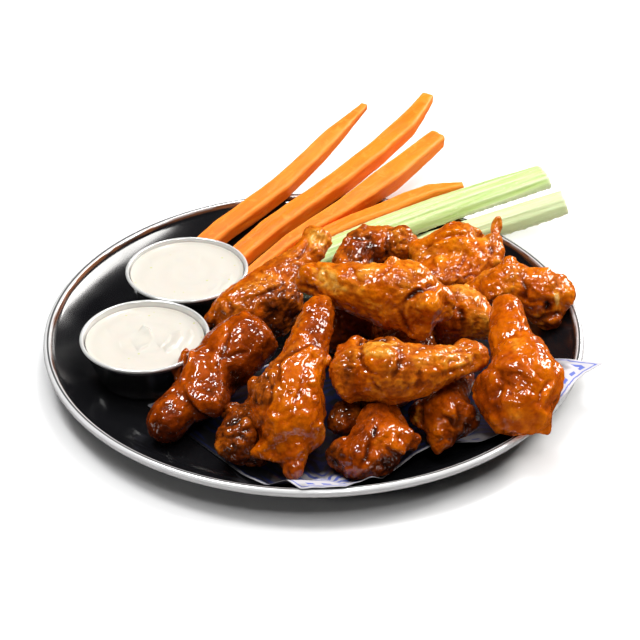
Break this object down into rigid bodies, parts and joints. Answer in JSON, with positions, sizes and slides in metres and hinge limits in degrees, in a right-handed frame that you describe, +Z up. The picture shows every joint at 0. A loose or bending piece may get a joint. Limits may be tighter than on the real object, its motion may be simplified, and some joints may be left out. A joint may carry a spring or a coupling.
{
  "type": "plated chicken wings with dips, carrot and celery sticks",
  "caption": "Round black plate with a bright rolled rim, holding a pile of sauced chicken wings on liner paper, carrot and celery sticks, and small steel cups of creamy dip.",
  "frame": {"origin": "middle of the plate's flat underside, on the table", "axes": "+Z up; -Y towards the guest; +X to the guest's right"},
  "size_m": [0.2847, 0.3629, 0.0701],
  "materials": {
    "enamel": "glossy black enamel on steel, with the rolled rim left as bright bare steel",
    "liner_paper": "thin pale paper with a plain blue lattice print, soaked through to dark where it lies on the plate",
    "cup_steel": "polished stainless steel",
    "dip": "thick cream-white dressing with a soft shine",
    "sauced_wing": "fried skin under a wet orange-brown sauce",
    "carrot": "cut raw carrot, slightly moist",
    "celery": "raw celery stalk with pale ribs"
  },
  "bodies": {
    "root": {"dish": "enamel", "liner": "liner_paper", "cup_front": "cup_steel", "dip_front": "dip", "cup_back": "cup_steel", "dip_back": "dip", "wing_top": "sauced_wing", "wing_middle": "sauced_wing", "wing_front_left": "sauced_wing", "wing_right_rim": "sauced_wing", "wing_left": "sauced_wing", "wing_back_left": "sauced_wing", "wing_back_right": "sauced_wing", "wing_front": "sauced_wing", "wing_front_right": "sauced_wing", "wing_right": "sauced_wing", "wing_under_top": "sauced_wing", "wing_back": "sauced_wing", "wing_low_left": "sauced_wing", "wing_low_middle": "sauced_wing", "wing_heart": "sauced_wing", "carrot_left": "carrot", "carrot_middle": "carrot", "carrot_right": "carrot", "carrot_low": "carrot", "celery_front": "celery", "celery_back": "celery"}
  },
  "joints": []
}
